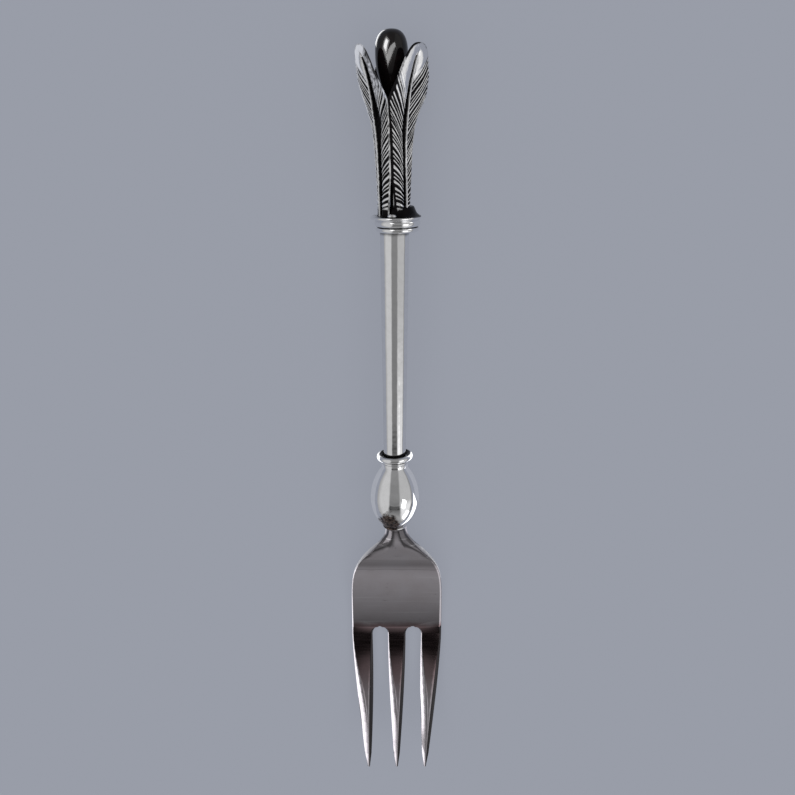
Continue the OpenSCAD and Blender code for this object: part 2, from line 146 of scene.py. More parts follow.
class FishForkFeather(bpy.types.PropertyGroup):
    """Sizes of the three feathers."""

    tall: length(0.0361, "Length", "Length of a feather")
    foot_half: length(0.0027, "Foot half width", "Half width of a feather at its foot")
    vane_half: length(0.0067, "Vane half width", "Half width at the widest place")
    spine_out: length(0.00365, "Spine distance", "From the finial's axis to the spine at the foot")
    flare: length(0.0041, "Flare", "How far the spine flares out between foot and tip")
    thick: length(0.001, "Thickness", "Thickness of a feather along its spine")
    edge: length(0.00055, "Edge", "Thickness of a feather along its edge")
    barb_depth: length(0.0003, "Barb depth", "Depth of the grooves between the barbs")
    saw: length(0.00018, "Saw depth", "How far the grooves notch the edge")
    swell: length(0.00068, "Swell", "Height of the rounded swell of each vane")
    valley: length(0.0004, "Valley", "Depth of the valley beside the spine")
    gap: length(0.0001, "Gap", "Least room between the edges of neighbouring feathers")
    aside: length(0.001, "Spine aside", "How far the spine leans to the neighbouring feather")
    barbs: bpy.props.IntProperty(name="Barbs", description="Barbs on each side of a feather",
                                 default=34, min=10, max=80)
    left: angle(-66, "Left feather", "Where the left feather faces, from straight up")
    right: angle(52, "Right feather", "Where the right feather faces, from straight up")
    back: angle(173, "Back feather", "Where the back feather faces, from straight up")


class FishForkFinish(bpy.types.PropertyGroup):
    """Colours of the metals and of their patina."""

    silver: colour((0.88, 0.88, 0.89), "Silver", "Polished silver")
    steel: colour((0.56, 0.53, 0.57), "Steel", "Steel of the head")
    patina: colour((0.012, 0.011, 0.012), "Patina", "Black patina in the grooves")
    solder: colour((0.2, 0.15, 0.13), "Solder patina", "Brown patina around the solder")
    bud: colour((0.004, 0.0035, 0.004), "Bud", "Black of the bud")
    scratches: share(0.35, "Scratches", "How much fine rubbing the polished metal shows")


class FishForkStudio(bpy.types.PropertyGroup):
    """Floor, lights and camera."""

    floor: colour((0.336, 0.356, 0.4135), "Floor", "Colour of the floor")
    glow: share(0.72, "Floor glow", "How much of the floor's light is its own")
    left_side: number(0.6, "Left side", "Brightness of the left side of the light tent")
    right_side: number(0.62, "Right side", "Brightness of the right side of the light tent")
    window: number(0.6, "Window", "Brightness of the window at the right")
    top_light: number(17.0, "Top light", "Power of the soft light above, in watts", 0.0, 1000.0)
    focal: number(38.49, "Focal length", "Focal length of the camera in millimetres", 1.0, 500.0)
    distance: length(0.20665, "Distance", "From the camera to the middle of the fork", 0.01, 2.0)
    height_angle: angle(17.7, "Camera angle", "How far the camera leans towards the finial")


# Shader maths


def adds(kind, swapped=False):
    """An operator of Value that adds a Math node of one kind."""
    def operator(self, *other):
        values = (*other, self) if swapped else (self, *other)
        return self.finish.add("ShaderNodeMath", {"operation": kind}, dict(enumerate(values)))[0]
    return operator


class Value:
    """A value that changes over a surface, and with which Python's operators work."""

    __add__ = __radd__ = adds("ADD")
    __mul__ = __rmul__ = adds("MULTIPLY")
    __sub__, __rsub__ = adds("SUBTRACT"), adds("SUBTRACT", swapped=True)
    __truediv__, __pow__ = adds("DIVIDE"), adds("POWER")
    __abs__, most = adds("ABSOLUTE"), adds("MAXIMUM")

    def __init__(self, finish, socket):
        self.finish, self.socket = finish, socket

    def __neg__(self):
        return self * -1.0

    def between(self, low, high):
        """0 below low, 1 above high, and a soft step between them."""
        settings = {"interpolation_type": "SMOOTHSTEP", "clamp": True}
        return self.finish.add("ShaderNodeMapRange", settings,
                               {"Value": self, "From Min": low, "From Max": high})[0]


class Axes(NamedTuple):
    """The three parts of a vector that changes over a surface."""

    x: Value
    y: Value
    z: Value


class Node:
    """A node whose outputs are read by number or name."""

    def __init__(self, finish, node):
        self.finish, self.node = finish, node

    def __getitem__(self, key):
        return Value(self.finish, self.node.outputs[key])


class Finish:
    """The nodes of a material or of the world."""

    def __init__(self, owner):
        owner.use_nodes = True
        self.owner, self.tree = owner, owner.node_tree
        self.tree.nodes.clear()

    def add(self, kind, settings=None, values=None):
        """Adds a node. Settings are its properties, and values go to its inputs."""
        node = self.tree.nodes.new(kind)
        for key, setting in (settings or {}).items():
            if key == "stops":
                ramp = node.color_ramp.elements
                while len(ramp) < len(setting):
                    ramp.new(0.5)
                for stop, (place, tint) in zip(ramp, setting):
                    stop.position, stop.color = place, (*tint, 1.0)
            else:
                setattr(node, key, setting)
        for key, value in (values or {}).items():
            socket = node.inputs[key]
            if isinstance(value, Value):
                self.tree.links.new(value.socket, socket)
            elif socket.type == "RGBA" and len(value) == 3:
                socket.default_value = (*value, 1.0)
            else:
                socket.default_value = value
        return Node(self, node)

    def place(self, about=(0.0, 0.0, 0.0), stretch=(1.0, 1.0, 1.0)):
        """Object coordinates measured from a point, stretched for a pattern."""
        here = self.add("ShaderNodeTexCoord")["Object"]
        moved = self.add("ShaderNodeVectorMath", {"operation": "SUBTRACT"}, {0: here, 1: about})[0]
        return self.add("ShaderNodeVectorMath", {"operation": "MULTIPLY"},
                        {0: moved, 1: stretch})[0]

    def noise(self, where, scale, detail=3.0, rough=0.5):
        return self.add("ShaderNodeTexNoise", None,
                        {"Vector": where, "Scale": scale, "Detail": detail,
                         "Roughness": rough})["Fac"]

    def axes(self, where):
        split = self.add("ShaderNodeSeparateXYZ", None, {0: where})
        return Axes(split[0], split[1], split[2])

    def blend(self, amount, first, second):
        return self.add("ShaderNodeMix", {"data_type": "RGBA"},
                        {"Factor": amount, 6: first, 7: second})[2]

    def bump(self, height, strength, distance, normal=None):
        values = {"Height": height, "Strength": strength, "Distance": distance}
        if normal is not None:
            values["Normal"] = normal
        return self.add("ShaderNodeBump", None, values)["Normal"]

    def attribute(self, name):
        return self.add("ShaderNodeAttribute", {"attribute_name": name})["Fac"]

    def surface(self, values):
        """Ends a material with its shader, which is a metal if the values don't say otherwise."""
        shader = self.add("ShaderNodeBsdfPrincipled", None, {"Metallic": 1.0, **values})
        self.add("ShaderNodeOutputMaterial", None, {"Surface": shader["BSDF"]})
        return self.owner


def new_finish(name):
    return Finish(bpy.data.materials.new(name))


def dimmed(tint, factor):
    """A colour times one factor, or times a factor each for its red, green and blue."""
    factors = factor if isinstance(factor, tuple) else (factor,) * 3
    return tuple(c * k for c, k in zip(tint, factors))


def polished_silver(name, colours, dark=None, stain=None):
    """Hand-polished silver with fine rubbing, and a dark colour as deep as dark says, mottled by
    stain: patina, and in the collar's seams painted shade too.
    """
    finish = new_finish(name)
    here = finish.place(HANDLE_AXIS)
    waves = finish.noise(here, 260.0, 2.0)
    rubbing = finish.noise(finish.place(HANDLE_AXIS, (5.0, 0.35, 5.0)), 2600.0, 3.0, 0.6)
    cloud = finish.noise(here, 700.0, 4.0, 0.55)
    tint = finish.blend(cloud.between(0.35, 0.75) * 0.3, colours.silver,
                        dimmed(colours.silver, 0.8))
    rough = 0.045 + rubbing.between(0.45, 0.75) * (0.1 * colours.scratches) + cloud * 0.03
    if dark is not None:
        mask = dark(finish.axes(here), cloud)
        deep = colours.patina
        if stain is not None:
            mottle = finish.noise(here, 1500.0, 3.0, 0.6).between(0.35, 0.65)
            deep = finish.blend(mottle, deep, stain)
        tint = finish.blend(mask, tint, deep)
        rough = rough + mask * 0.25
    normal = finish.bump(waves, 0.5, 0.00012)
    normal = finish.bump(rubbing, 0.12 * colours.scratches, 0.00001, normal)
    return finish.surface({"Base Color": tint, "Roughness": rough, "Normal": normal})


# Modelling


def ease(k):
    """A soft step from 0 to 1."""
    k = np.clip(k, 0, 1)
    return k * k * (3 - 2 * k)


def mix(a, b, k):
    return a + (b - a) * k


def deselect():
    """Leaves edit mode and selects nothing."""
    if bpy.context.object and bpy.context.object.mode != "OBJECT":
        bpy.ops.object.mode_set(mode="OBJECT")
    bpy.ops.object.select_all(action="DESELECT")


def pick(piece):
    """Selects one piece alone and makes it active."""
    deselect()
    piece.select_set(True)
    bpy.context.view_layer.objects.active = piece


def named(name):
    piece = bpy.context.object
    piece.name = piece.data.name = name
    return piece


def close_up():
    """Joins the points that meet, turns the faces outwards and leaves edit mode."""
    bpy.ops.mesh.select_all(action="SELECT")
    bpy.ops.mesh.remove_doubles(threshold=0.0000008)
    bpy.ops.mesh.normals_make_consistent(inside=False)
    bpy.ops.object.mode_set(mode="OBJECT")


def turned(name, outline, steps=160):
    """Turns an outline of radii and heights on the lathe, about Z."""
    deselect()
    bpy.ops.mesh.primitive_plane_add(size=0.001, location=(0, 0, 0))
    bpy.ops.object.mode_set(mode="EDIT")
    bpy.ops.mesh.merge(type="CENTER")
    radius, height = outline[0]
    bpy.ops.transform.translate(value=(radius, 0, height))
    for (r0, h0), (r1, h1) in zip(outline, outline[1:]):
        bpy.ops.mesh.extrude_region_move(TRANSFORM_OT_translate={"value": (r1 - r0, 0, h1 - h0)})
    bpy.ops.mesh.select_all(action="SELECT")
    bpy.ops.mesh.spin(steps=steps, angle=2 * pi, center=(0, 0, 0), axis=(0, 0, 1))
    close_up()
    return named(name)


def wire_ring(name, radius, wire, steps, sides):
    """A round wire bent to a ring about Z, with the radius of its middle line."""
    deselect()
    bpy.ops.mesh.primitive_torus_add(major_radius=radius, minor_radius=wire / 2,
                                     major_segments=steps, minor_segments=sides,
                                     location=(0, 0, 0))
    return named(name)


def modify(piece, kind, **settings):
    """Adds a modifier with its settings and applies it."""
    pick(piece)
    bpy.ops.object.modifier_add(type=kind)
    modifier = piece.modifiers[-1]
    for key, value in settings.items():
        setattr(modifier, key, value)
    bpy.ops.object.modifier_apply(modifier=modifier.name)


def soften(piece, width, segments=3, edge=40):
    """Rounds the rims of a turned piece."""
    modify(piece, "BEVEL", width=width, segments=segments, limit_method="ANGLE",
           angle_limit=radians(edge))


def settle(piece, where, turn=(0.0, 0.0, 0.0)):
    """Puts a piece in its place, with the place in its mesh."""
    pick(piece)
    piece.rotation_euler = turn
    piece.location = where
    bpy.ops.object.transform_apply(location=True, rotation=True, scale=True)


def on_handle(piece, y):
    """Lays a piece that was made about Z on the handle's axis."""
    settle(piece, (AXIS_X, y, AXIS_Z), (-pi / 2, 0, 0))


def on_finial(piece, height, lean):
    """Lays a piece that was made about Z on the finial's axis, which leans over."""
    settle(piece, (AXIS_X - height * sin(lean), TUBE_END + height * cos(lean), AXIS_Z),
           (-pi / 2, 0, lean))


def hand_over(piece, material, slot, *nodes, edge=35):
    """Gives a finished piece its material and the nodes that it stands for; slot is not used."""
    pick(piece)
    bpy.ops.object.shade_smooth_by_angle(angle=radians(edge))
    piece.data.materials.clear()
    piece.data.materials.append(material)
    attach(piece, "root")
    if nodes:
        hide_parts(*nodes)


def copy_of(node, name):
    """A copy of a frame node with its points joined up, ready to be worked on."""
    pick(frame["nodes"][node])
    bpy.ops.object.duplicate()
    piece = named(name)
    bpy.ops.object.parent_clear(type="CLEAR")
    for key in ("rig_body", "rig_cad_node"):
        del piece[key]
    bpy.ops.object.mode_set(mode="EDIT")
    bpy.ops.mesh.select_all(action="SELECT")
    bpy.ops.mesh.remove_doubles(threshold=0.000001)
    bpy.ops.object.mode_set(mode="OBJECT")
    return piece


def arc(wide, end, reach, heights):
    """Radii and heights on an arc from the widest place, at height 0, to radius end."""
    big = (reach ** 2 + (wide - end) ** 2) / (2 * (wide - end))
    return [(wide - big + sqrt(big ** 2 - z ** 2), z) for z in heights]


def disc_outline(radius, height, bulge):
    """Outline of a disc with a rounded rim, from its lower middle to its upper one."""
    big = (height ** 2 / 4 + bulge ** 2) / (2 * bulge)
    span = asin(height / 2 / big)
    bend = [(radius - big + big * cos(a), height / 2 + big * sin(a))
            for a in np.linspace(-span, span, 12)]
    return [(0.0, 0.0), *bend, (0.0, height)]


# Head


class FISHFORK_OT_head(bpy.types.Operator):
    """Steel head with three tapered tines"""

    bl_idname = "fishfork.head"
    bl_label = "Head"

    def execute(self, context):
        piece = copy_of("fork_head", "head")
        mark_painted_shade(piece.data)
        material = head_steel(context.scene.fishfork_finish)
        hand_over(piece, material, "head_steel", "fork_head", edge=31)
        modify(piece, "WEIGHTED_NORMAL", mode="FACE_AREA", weight=90, keep_sharp=True)
        return {"FINISHED"}


def mark_painted_shade(mesh):
    """Marks the tines' right sides, their left bevels and the neck's flanks, for the painted shade
    that head_steel puts on them.
    """
    right, ridge, leans = [], [], [[] for point in mesh.vertices]
    for face in mesh.polygons:
        on_tine = face.center.y < HEAD_SLOTS
        # The tines' right sides, which are painted dark as shade.
        right.append(float(on_tine and face.normal.x > 0.3))
        across = [mesh.vertices[point].co.x for point in face.vertices]
        low, high = min(across), max(across)
        bevel = on_tine and face.normal.x < -0.3 and face.normal.z > 0.3 and high > low
        # Share of the way across each left bevel from its outer edge, for a painted shade that
        # deepens inwards.
        ridge += [(x - low) / (high - low) if bevel else 0.0 for x in across]
        # Sideways-leaning faces of the neck, for painted shade on its flanks.
        for point in face.vertices:
            leans[point].append(float(0.12 < abs(face.normal.x) < 0.9))
    fade = 0.008  # length over which the painted shade on the flanks fades out towards the blade
    hollow = [sum(lean) / len(lean) * float(ease((point.co.y - NECK_END) / fade))
              for lean, point in zip(leans, mesh.vertices)]
    for name, domain, values in (("right_side", "FACE", right), ("ridge", "CORNER", ridge),
                                 ("hollow", "POINT", hollow)):
        mesh.attributes.new(name, "FLOAT", domain).data.foreach_set("value", values)


def head_steel(colours):
    """Worn steel: soft rubbing across the blade, nicks, tarnish at the roots of the tines, and
    painted shade on the tines' right sides, their left bevels and the neck's flanks.
    """
    finish = new_finish("head steel")
    here = finish.place()
    y = finish.axes(here).y
    leans_right = finish.axes(finish.add("ShaderNodeNewGeometry")["True Normal"]).x
    across = finish.noise(finish.place(stretch=(0.12, 1.6, 1.0)), 1500.0, 4.0, 0.6)
    along = finish.noise(finish.place(stretch=(1.8, 0.1, 1.0)), 1800.0, 3.0, 0.55)
    cloud = finish.noise(here, 160.0, 4.0, 0.55)
    tint = finish.blend(cloud.between(0.3, 0.8) * 0.5, colours.steel,
                        dimmed(colours.steel, (0.86, 0.82, 0.8)))

    place = y + (cloud - 0.5) * 0.004
    roots = 1.0 - place.between(HEAD_SLOTS, HEAD_SLOTS + 0.0022)
    roots = roots * place.between(HEAD_SLOTS - 0.025, HEAD_SLOTS - 0.012)
    roots = roots * (1.0 - (-leans_right).between(0.25, 0.4))
    tint = finish.blend(roots * 0.85, tint, dimmed(colours.steel, (0.52, 0.36, 0.35)))

    # Painted shade: the tines' right sides go dark, and each left bevel darkens from its bright
    # outer edge inwards.
    bevels = finish.attribute("right_side").most(finish.attribute("ridge").between(0.3, 1.0) * 0.8)
    # Painted shade on the neck's flanks.
    flanks = finish.attribute("hollow").between(0.1, 0.6) * 0.82
    line_y, line_half = -0.0368, 0.0002  # a faint line across the neck
    line = 1.0 - abs((y - line_y) / line_half + (cloud - 0.5) * 6.0).between(0.5, 1.0)
    shade = bevels.most(flanks).most(line * 0.25)
    # The painted shade, with the faint line, darkens the steel.
    tint = finish.blend(shade * 0.97, tint, dimmed(colours.steel, 0.06))

    streaks = finish.noise(finish.place(stretch=(0.04, 1.5, 0.5)), 900.0, 2.0).between(0.55, 0.8)
    streaks = streaks * y.between(HEAD_SLOTS, HEAD_SLOTS + 0.002)
    tint = finish.blend(streaks * 0.2, tint, (0.9, 0.9, 0.92))
    nicks = finish.noise(here, 1400.0, 2.0, 0.4).between(0.72, 0.78)
    tint = finish.blend(nicks * 0.5, tint, dimmed(colours.steel, 0.3))
    rough = 0.09 + across.between(0.4, 0.8) * 0.06 + cloud * 0.04
    normal = finish.bump(across, 0.1, 0.00002)
    normal = finish.bump(along, 0.06, 0.00002, normal)
    return finish.surface({"Base Color": tint, "Roughness": rough, "Normal": normal})


# Bulb and rings


class FISHFORK_OT_bulb(bpy.types.Operator):
    """Egg-shaped bulb with its lip, and the bead of solder under it"""

    bl_idname = "fishfork.bulb"
    bl_label = "Bulb"

    def execute(self, context):
        sizes, colours = context.scene.fishfork_handle, context.scene.fishfork_finish
        piece = turned("bulb_body", bulb_outline(sizes))
        soften(piece, 0.00018)
        on_handle(piece, TUBE_FOOT - sizes.lip_height - sizes.bulb_upper)
        material = polished_silver("bulb silver", colours, dark=solder_stain, stain=colours.solder)
        hand_over(piece, material, "bulb_silver", "bulb")
        solder_bead(sizes, colours)
        return {"FINISHED"}


def bulb_outline(sizes):
    """Outline of the bulb, with its widest place at height 0."""
    lower = arc(sizes.bulb_radius, sizes.bulb_foot, sizes.bulb_lower,
                np.linspace(-sizes.bulb_lower, 0, 24))
    upper = arc(sizes.bulb_radius, sizes.bulb_top, sizes.bulb_upper,
                np.linspace(0, sizes.bulb_upper, 26)[1:])
    top = sizes.bulb_upper + sizes.lip_height
    return [(0.0, -sizes.bulb_lower), *lower, *upper,
            (sizes.lip_radius, sizes.bulb_upper), (sizes.lip_radius, top), (0.0, top)]


def solder_stain(at, cloud):
    """Stain on the left of the bulb, where the neck was soldered in."""
    up, right, half_tall, half_wide = 0.0022, -0.0014, 0.0048, 0.003
    along = (at.y - BULB_FOOT - up) / half_tall
    across = (at.x - right) / half_wide
    spot = (along * along + across * across) ** 0.5 + (cloud - 0.5) * 1.8
    ring = (at.y - BULB_FOOT - (cloud - 0.35) * 0.002).between(0.0, 0.0006)
    return (1.0 - spot.between(0.55, 1.0) * ring) * at.z.between(-0.004, 0.001)


def solder_bead(sizes, colours):
    """Uneven bead of solder around the neck, dark on its left."""
    wire, rough, out, up = 0.00056, 0.00006, 0.0001, 0.00005
    bead = wire_ring("solder_bead", sizes.bulb_foot + out, wire, 120, 20)
    bpy.ops.object.mode_set(mode="EDIT")
    bpy.ops.transform.vertex_random(offset=rough, uniform=0.3, normal=0.7, seed=4)
    bpy.ops.mesh.vertices_smooth(factor=0.5, repeat=4)
    on_handle(bead, BULB_FOOT + up)
    material = polished_silver("solder", colours, dark=left_stain, stain=colours.solder)
    hand_over(bead, material, "bulb_silver", edge=60)


def left_stain(at, cloud):
    """Stain on whatever lies at the left of the handle's axis."""
    return 1.0 - (at.x + (cloud - 0.5) * 0.006).between(-0.0005, 0.001)


class FISHFORK_OT_rings(bpy.types.Operator):
    """Thin ring on the lip and thick ring around the tube"""

    bl_idname = "fishfork.rings"
    bl_label = "Rings"

    def execute(self, context):
        sizes, colours = context.scene.fishfork_handle, context.scene.fishfork_finish
        for name, node, wire, tilt, slot in (
                ("thin_ring", "bulb_ring", sizes.thin_wire, 0.0, "polished_silver"),
                ("thick_ring", "neck_ring", sizes.thick_wire, sizes.thick_tilt, "ring_silver")):
            low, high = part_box(node)
            outer = (high.z - low.z) / 2
            piece = wire_ring(name, outer - wire / 2, wire, 144, 36)
            settle(piece, (0, 0, 0), (0, -tilt, 0))
            on_handle(piece, (low.y + high.y) / 2)
            material = polished_silver(name.replace("_", " ") + " silver", colours,
                                       dark=inner_stain(outer - wire, wire))
            hand_over(piece, material, slot, node)
        return {"FINISHED"}


def inner_stain(inner, wire):
    """Patina on the inner side of a ring, where polishing doesn't reach."""
    def dark(at, cloud):
        out = (at.x * at.x + at.z * at.z) ** 0.5
        return 1.0 - (out + cloud * 0.0002).between(inner + wire * 0.55, inner + wire * 0.92)
    return dark


# Tube and collar


class FISHFORK_OT_tube(bpy.types.Operator):
    """Long tapered tube"""

    bl_idname = "fishfork.tube"
    bl_label = "Tube"

    def execute(self, context):
        sizes, colours = context.scene.fishfork_handle, context.scene.fishfork_finish
        tall = TUBE_END - TUBE_FOOT
        outer = [(mix(sizes.tube_foot, sizes.tube_top, k), tall * k)
                 for k in np.linspace(0, 1, 20)]
        piece = turned("tube", [*outer, (sizes.tube_top - sizes.tube_wall, tall),
                                (sizes.tube_foot - sizes.tube_wall, 0.0), outer[0]])
        on_handle(piece, TUBE_FOOT)
        material = polished_silver("tube silver", colours, dark=end_stain)
        hand_over(piece, material, "polished_silver", "shaft_tube")
        return {"FINISHED"}


def end_stain(at, cloud):
    """Patina at both ends of the tube."""
    upper = (at.y + cloud * 0.0006).between(TUBE_END - 0.0006, TUBE_END + 0.0004)
    lower = 1.0 - (at.y - cloud * 0.001).between(TUBE_FOOT + 0.0012, TUBE_FOOT + 0.0024)
    return upper.most(lower) * 0.8


class FISHFORK_OT_collar(bpy.types.Operator):
    """Ring plate, domed band, the plate under the feathers, and the solder on it"""

    bl_idname = "fishfork.collar"
    bl_label = "Collar"

    def execute(self, context):
        sizes, colours = context.scene.fishfork_handle, context.scene.fishfork_finish
        foot = sizes.collar_seat
        for name, node, radius, tall, bulge, shift, slot in (
                ("ring_plate", "collar_ring", sizes.ring_radius, sizes.ring_height, 0.00045,
                 sizes.collar_shift, "polished_silver"),
                ("domed_band", "collar_band", sizes.band_radius, sizes.band_height, 0.00055,
                 sizes.collar_shift, "polished_silver"),
                ("feather_plate", "finial_plate", sizes.plate_radius, sizes.plate_height,
                 0.00025, sizes.plate_shift, "plate_silver")):
            piece = turned(name, disc_outline(radius, tall, bulge))
            soften(piece, 0.00007, segments=2)
            settle(piece, (shift, 0, 0))
            on_finial(piece, foot, sizes.lean)
            middle = TUBE_END + foot + tall / 2
            # The seam between the ring plate and the band gets patina and painted shade.
            dark = {"ring_plate": seam_patina_and_shade(middle, tall / 2),
                    "domed_band": seam_patina_and_shade(middle, -tall / 2),
                    "feather_plate": plate_stain(middle, tall / 2, radius)}[name]
            material = polished_silver(name.replace("_", " ") + " silver", colours, dark=dark)
            hand_over(piece, material, slot, node)
            foot += tall
        foot_solder(sizes, colours)
        solder_drop(sizes, colours)
        return {"FINISHED"}


def seam_patina_and_shade(middle, half):
    """Patina and painted shade in the seam at a disc's upper face, or at its lower one if half is
    below 0.
    """
    def dark(at, cloud):
        return ((at.y - middle) / half + cloud * 0.3).between(0.85, 1.15)
    return dark


def plate_stain(middle, half, radius):
    """Black on the upper face of the plate, inside its rim, but not at its left end."""
    def dark(at, cloud):
        height = (at.y - middle) / half
        seam = (height + cloud * 0.3).between(0.7, 1.1)
        out = (at.x * at.x + at.z * at.z) ** 0.5
        at_rim = (out + cloud * 0.0008).between(radius * 0.92, radius * 1.06)
        covered = seam.most((1.0 - at_rim) * (height + 0.4).between(0.0, 0.5))
        return covered * at.x.between(-0.0052, -0.003)
    return dark


def plate_top(sizes):
    """Height over the tube's end of the plate's upper face, on which the feathers stand."""
    return sizes.collar_seat + sizes.ring_height + sizes.band_height + sizes.plate_height


def foot_solder(sizes, colours):
    """Black solder that fills the room between the feet of the feathers."""
    outline = [(0.0, 0.0), (0.005, 0.0), (0.0046, 0.0002), (0.0042, 0.0007),
               (0.0039, 0.0014), (0.0036, 0.0021), (0.0, 0.0021)]
    piece = turned("foot_solder", outline, steps=96)
    soften(piece, 0.0002, edge=12)
    settle(piece, (0.0009, 0.0006, 0))
    on_finial(piece, plate_top(sizes), sizes.lean)
    finish = new_finish("black solder")
    bumps = finish.noise(finish.place(), 1800.0, 3.0, 0.6)
    material = finish.surface({"Base Color": colours.patina,
                               "Roughness": 0.3 + bumps * 0.2,
                               "Normal": finish.bump(bumps, 0.4, 0.0001)})
    hand_over(piece, material, "plate_silver")


def solder_drop(sizes, colours):
    """Bright drop of solder on the plate, in front of the feathers."""
    deselect()
    bpy.ops.mesh.primitive_uv_sphere_add(segments=48, ring_count=24, radius=1,
                                         location=(0, 0, 0))
    piece = named("solder_drop")
    bpy.ops.transform.resize(value=(0.001, 0.0007, 0.0006))
    settle(piece, (-0.0005, -0.0043, 0.0002))
    on_finial(piece, plate_top(sizes), sizes.lean)
    hand_over(piece, polished_silver("drop silver", colours), "plate_silver", edge=60)


# Bud


class FISHFORK_OT_bud(bpy.types.Operator):
    """Dark bud on its stem"""

    bl_idname = "fishfork.bud"
    bl_label = "Bud"

    def execute(self, context):
        sizes, colours = context.scene.fishfork_handle, context.scene.fishfork_finish
        foot = plate_top(sizes)
        tall = sizes.stem_reach + foot + sizes.bud_lift
        stem = turned("stem", [(0.0, 0.0), (sizes.stem_radius, 0.0),
                               (sizes.stem_radius, tall * 0.5),
                               (sizes.stem_radius, tall), (0.0, tall)], steps=64)
        soften(stem, 0.00012)
        on_finial(stem, -sizes.stem_reach, sizes.lean)
        hand_over(stem, polished_silver("stem silver", colours), "plate_silver", "finial_stem")

        bud = turned("bud_body", bud_outline(sizes))
        on_finial(bud, foot + sizes.bud_lift, sizes.lean)
        hand_over(bud, bud_black(colours), "bud_dark", "bud")
        return {"FINISHED"}


def bud_outline(sizes):
    """Outline of the bud: a long taper and a blunt cap."""
    taper = [(mix(sizes.stem_radius, sizes.bud_radius, sin(pi / 2 * k ** 0.9)),
              sizes.bud_taper * k) for k in np.linspace(0, 1, 30)]
    cap = [(sizes.bud_radius * max(0.0, cos(a)) ** (2 / 2.6),
            sizes.bud_taper + sizes.bud_cap * sin(a) ** (2 / 2.6))
           for a in np.linspace(0, pi / 2, 40)[1:]]
    return [(0.0, 0.0), *taper, *cap[:-1], (0.0, cap[-1][1])]


def bud_black(colours):
    """Glossy black with a faint brown cloud and slow waves."""
    finish = new_finish("bud black")
    here = finish.place()
    cloud = finish.noise(here, 500.0, 4.0)
    tint = finish.blend(cloud.between(0.3, 0.7) * 0.7, colours.bud,
                        dimmed(colours.bud, (2.6, 1.7, 1.5)))
    normal = finish.bump(finish.noise(here, 320.0, 2.0), 0.3, 0.00006)
    return finish.surface({"Base Color": tint, "Roughness": 0.06 + cloud * 0.1,
                           "Normal": normal, "Metallic": 0.0, "IOR": 1.42})


# Feathers


class Vane(NamedTuple):
    """How one side of a feather is cut."""

    valley: float  # share of its width that is black valley beside the spine
    crest: float   # share of the pitch that a barb fills
    plain: float   # share of the length above which it is left plain
    seam: float    # 0: bright and plain where it meets its neighbour, 1: black there
    blots: float   # how dark the blots on its plain part are
    flat: float    # share of its swell that is hammered flat towards the tip
    rim: float     # how dark its edge is around the tip


OPEN = Vane(valley=0.07, crest=0.44, plain=0.74, seam=-1.0, blots=0.1, flat=0.0, rim=0.3)
# For each feather: which side meets its neighbour, and how that side is cut
MEETING = {
    "feather_left": (1, Vane(valley=0.24, crest=0.68, plain=0.55, seam=0.0, blots=0.4, flat=0.8,
                             rim=0.35)),
    "feather_right": (-1, Vane(valley=0.08, crest=0.7, plain=0.6, seam=1.0, blots=0.1, flat=0.3,
                               rim=0.9)),
    "feather_back": (0, OPEN)}


